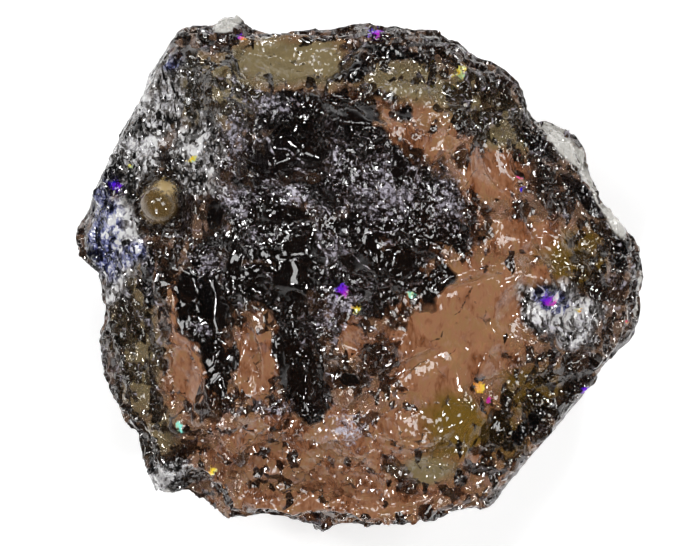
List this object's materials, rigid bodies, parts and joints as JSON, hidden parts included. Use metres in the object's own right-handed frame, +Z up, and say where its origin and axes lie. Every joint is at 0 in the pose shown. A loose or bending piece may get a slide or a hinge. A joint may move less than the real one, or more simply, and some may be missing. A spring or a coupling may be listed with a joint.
{
  "type": "rough tourmaline crystal chunk",
  "caption": "Broken chunk of a smoky brown, dark-cored gem crystal with a scalloped, glassy broken face, lying on its flat back.",
  "frame": {"origin": "middle of the chunk's bounding box, on the flat broken back that it rests on", "axes": "+Z up, out of the broken face; +X along the longest extent, towards the blunt right corner; +Y towards the edge with the small clear chip"},
  "size_m": [0.0092, 0.0082, 0.0047],
  "materials": {
    "smoky_tourmaline": "gloss"
  },
  "bodies": {
    "root": {"tourmaline": "smoky_tourmaline"}
  },
  "joints": []
}
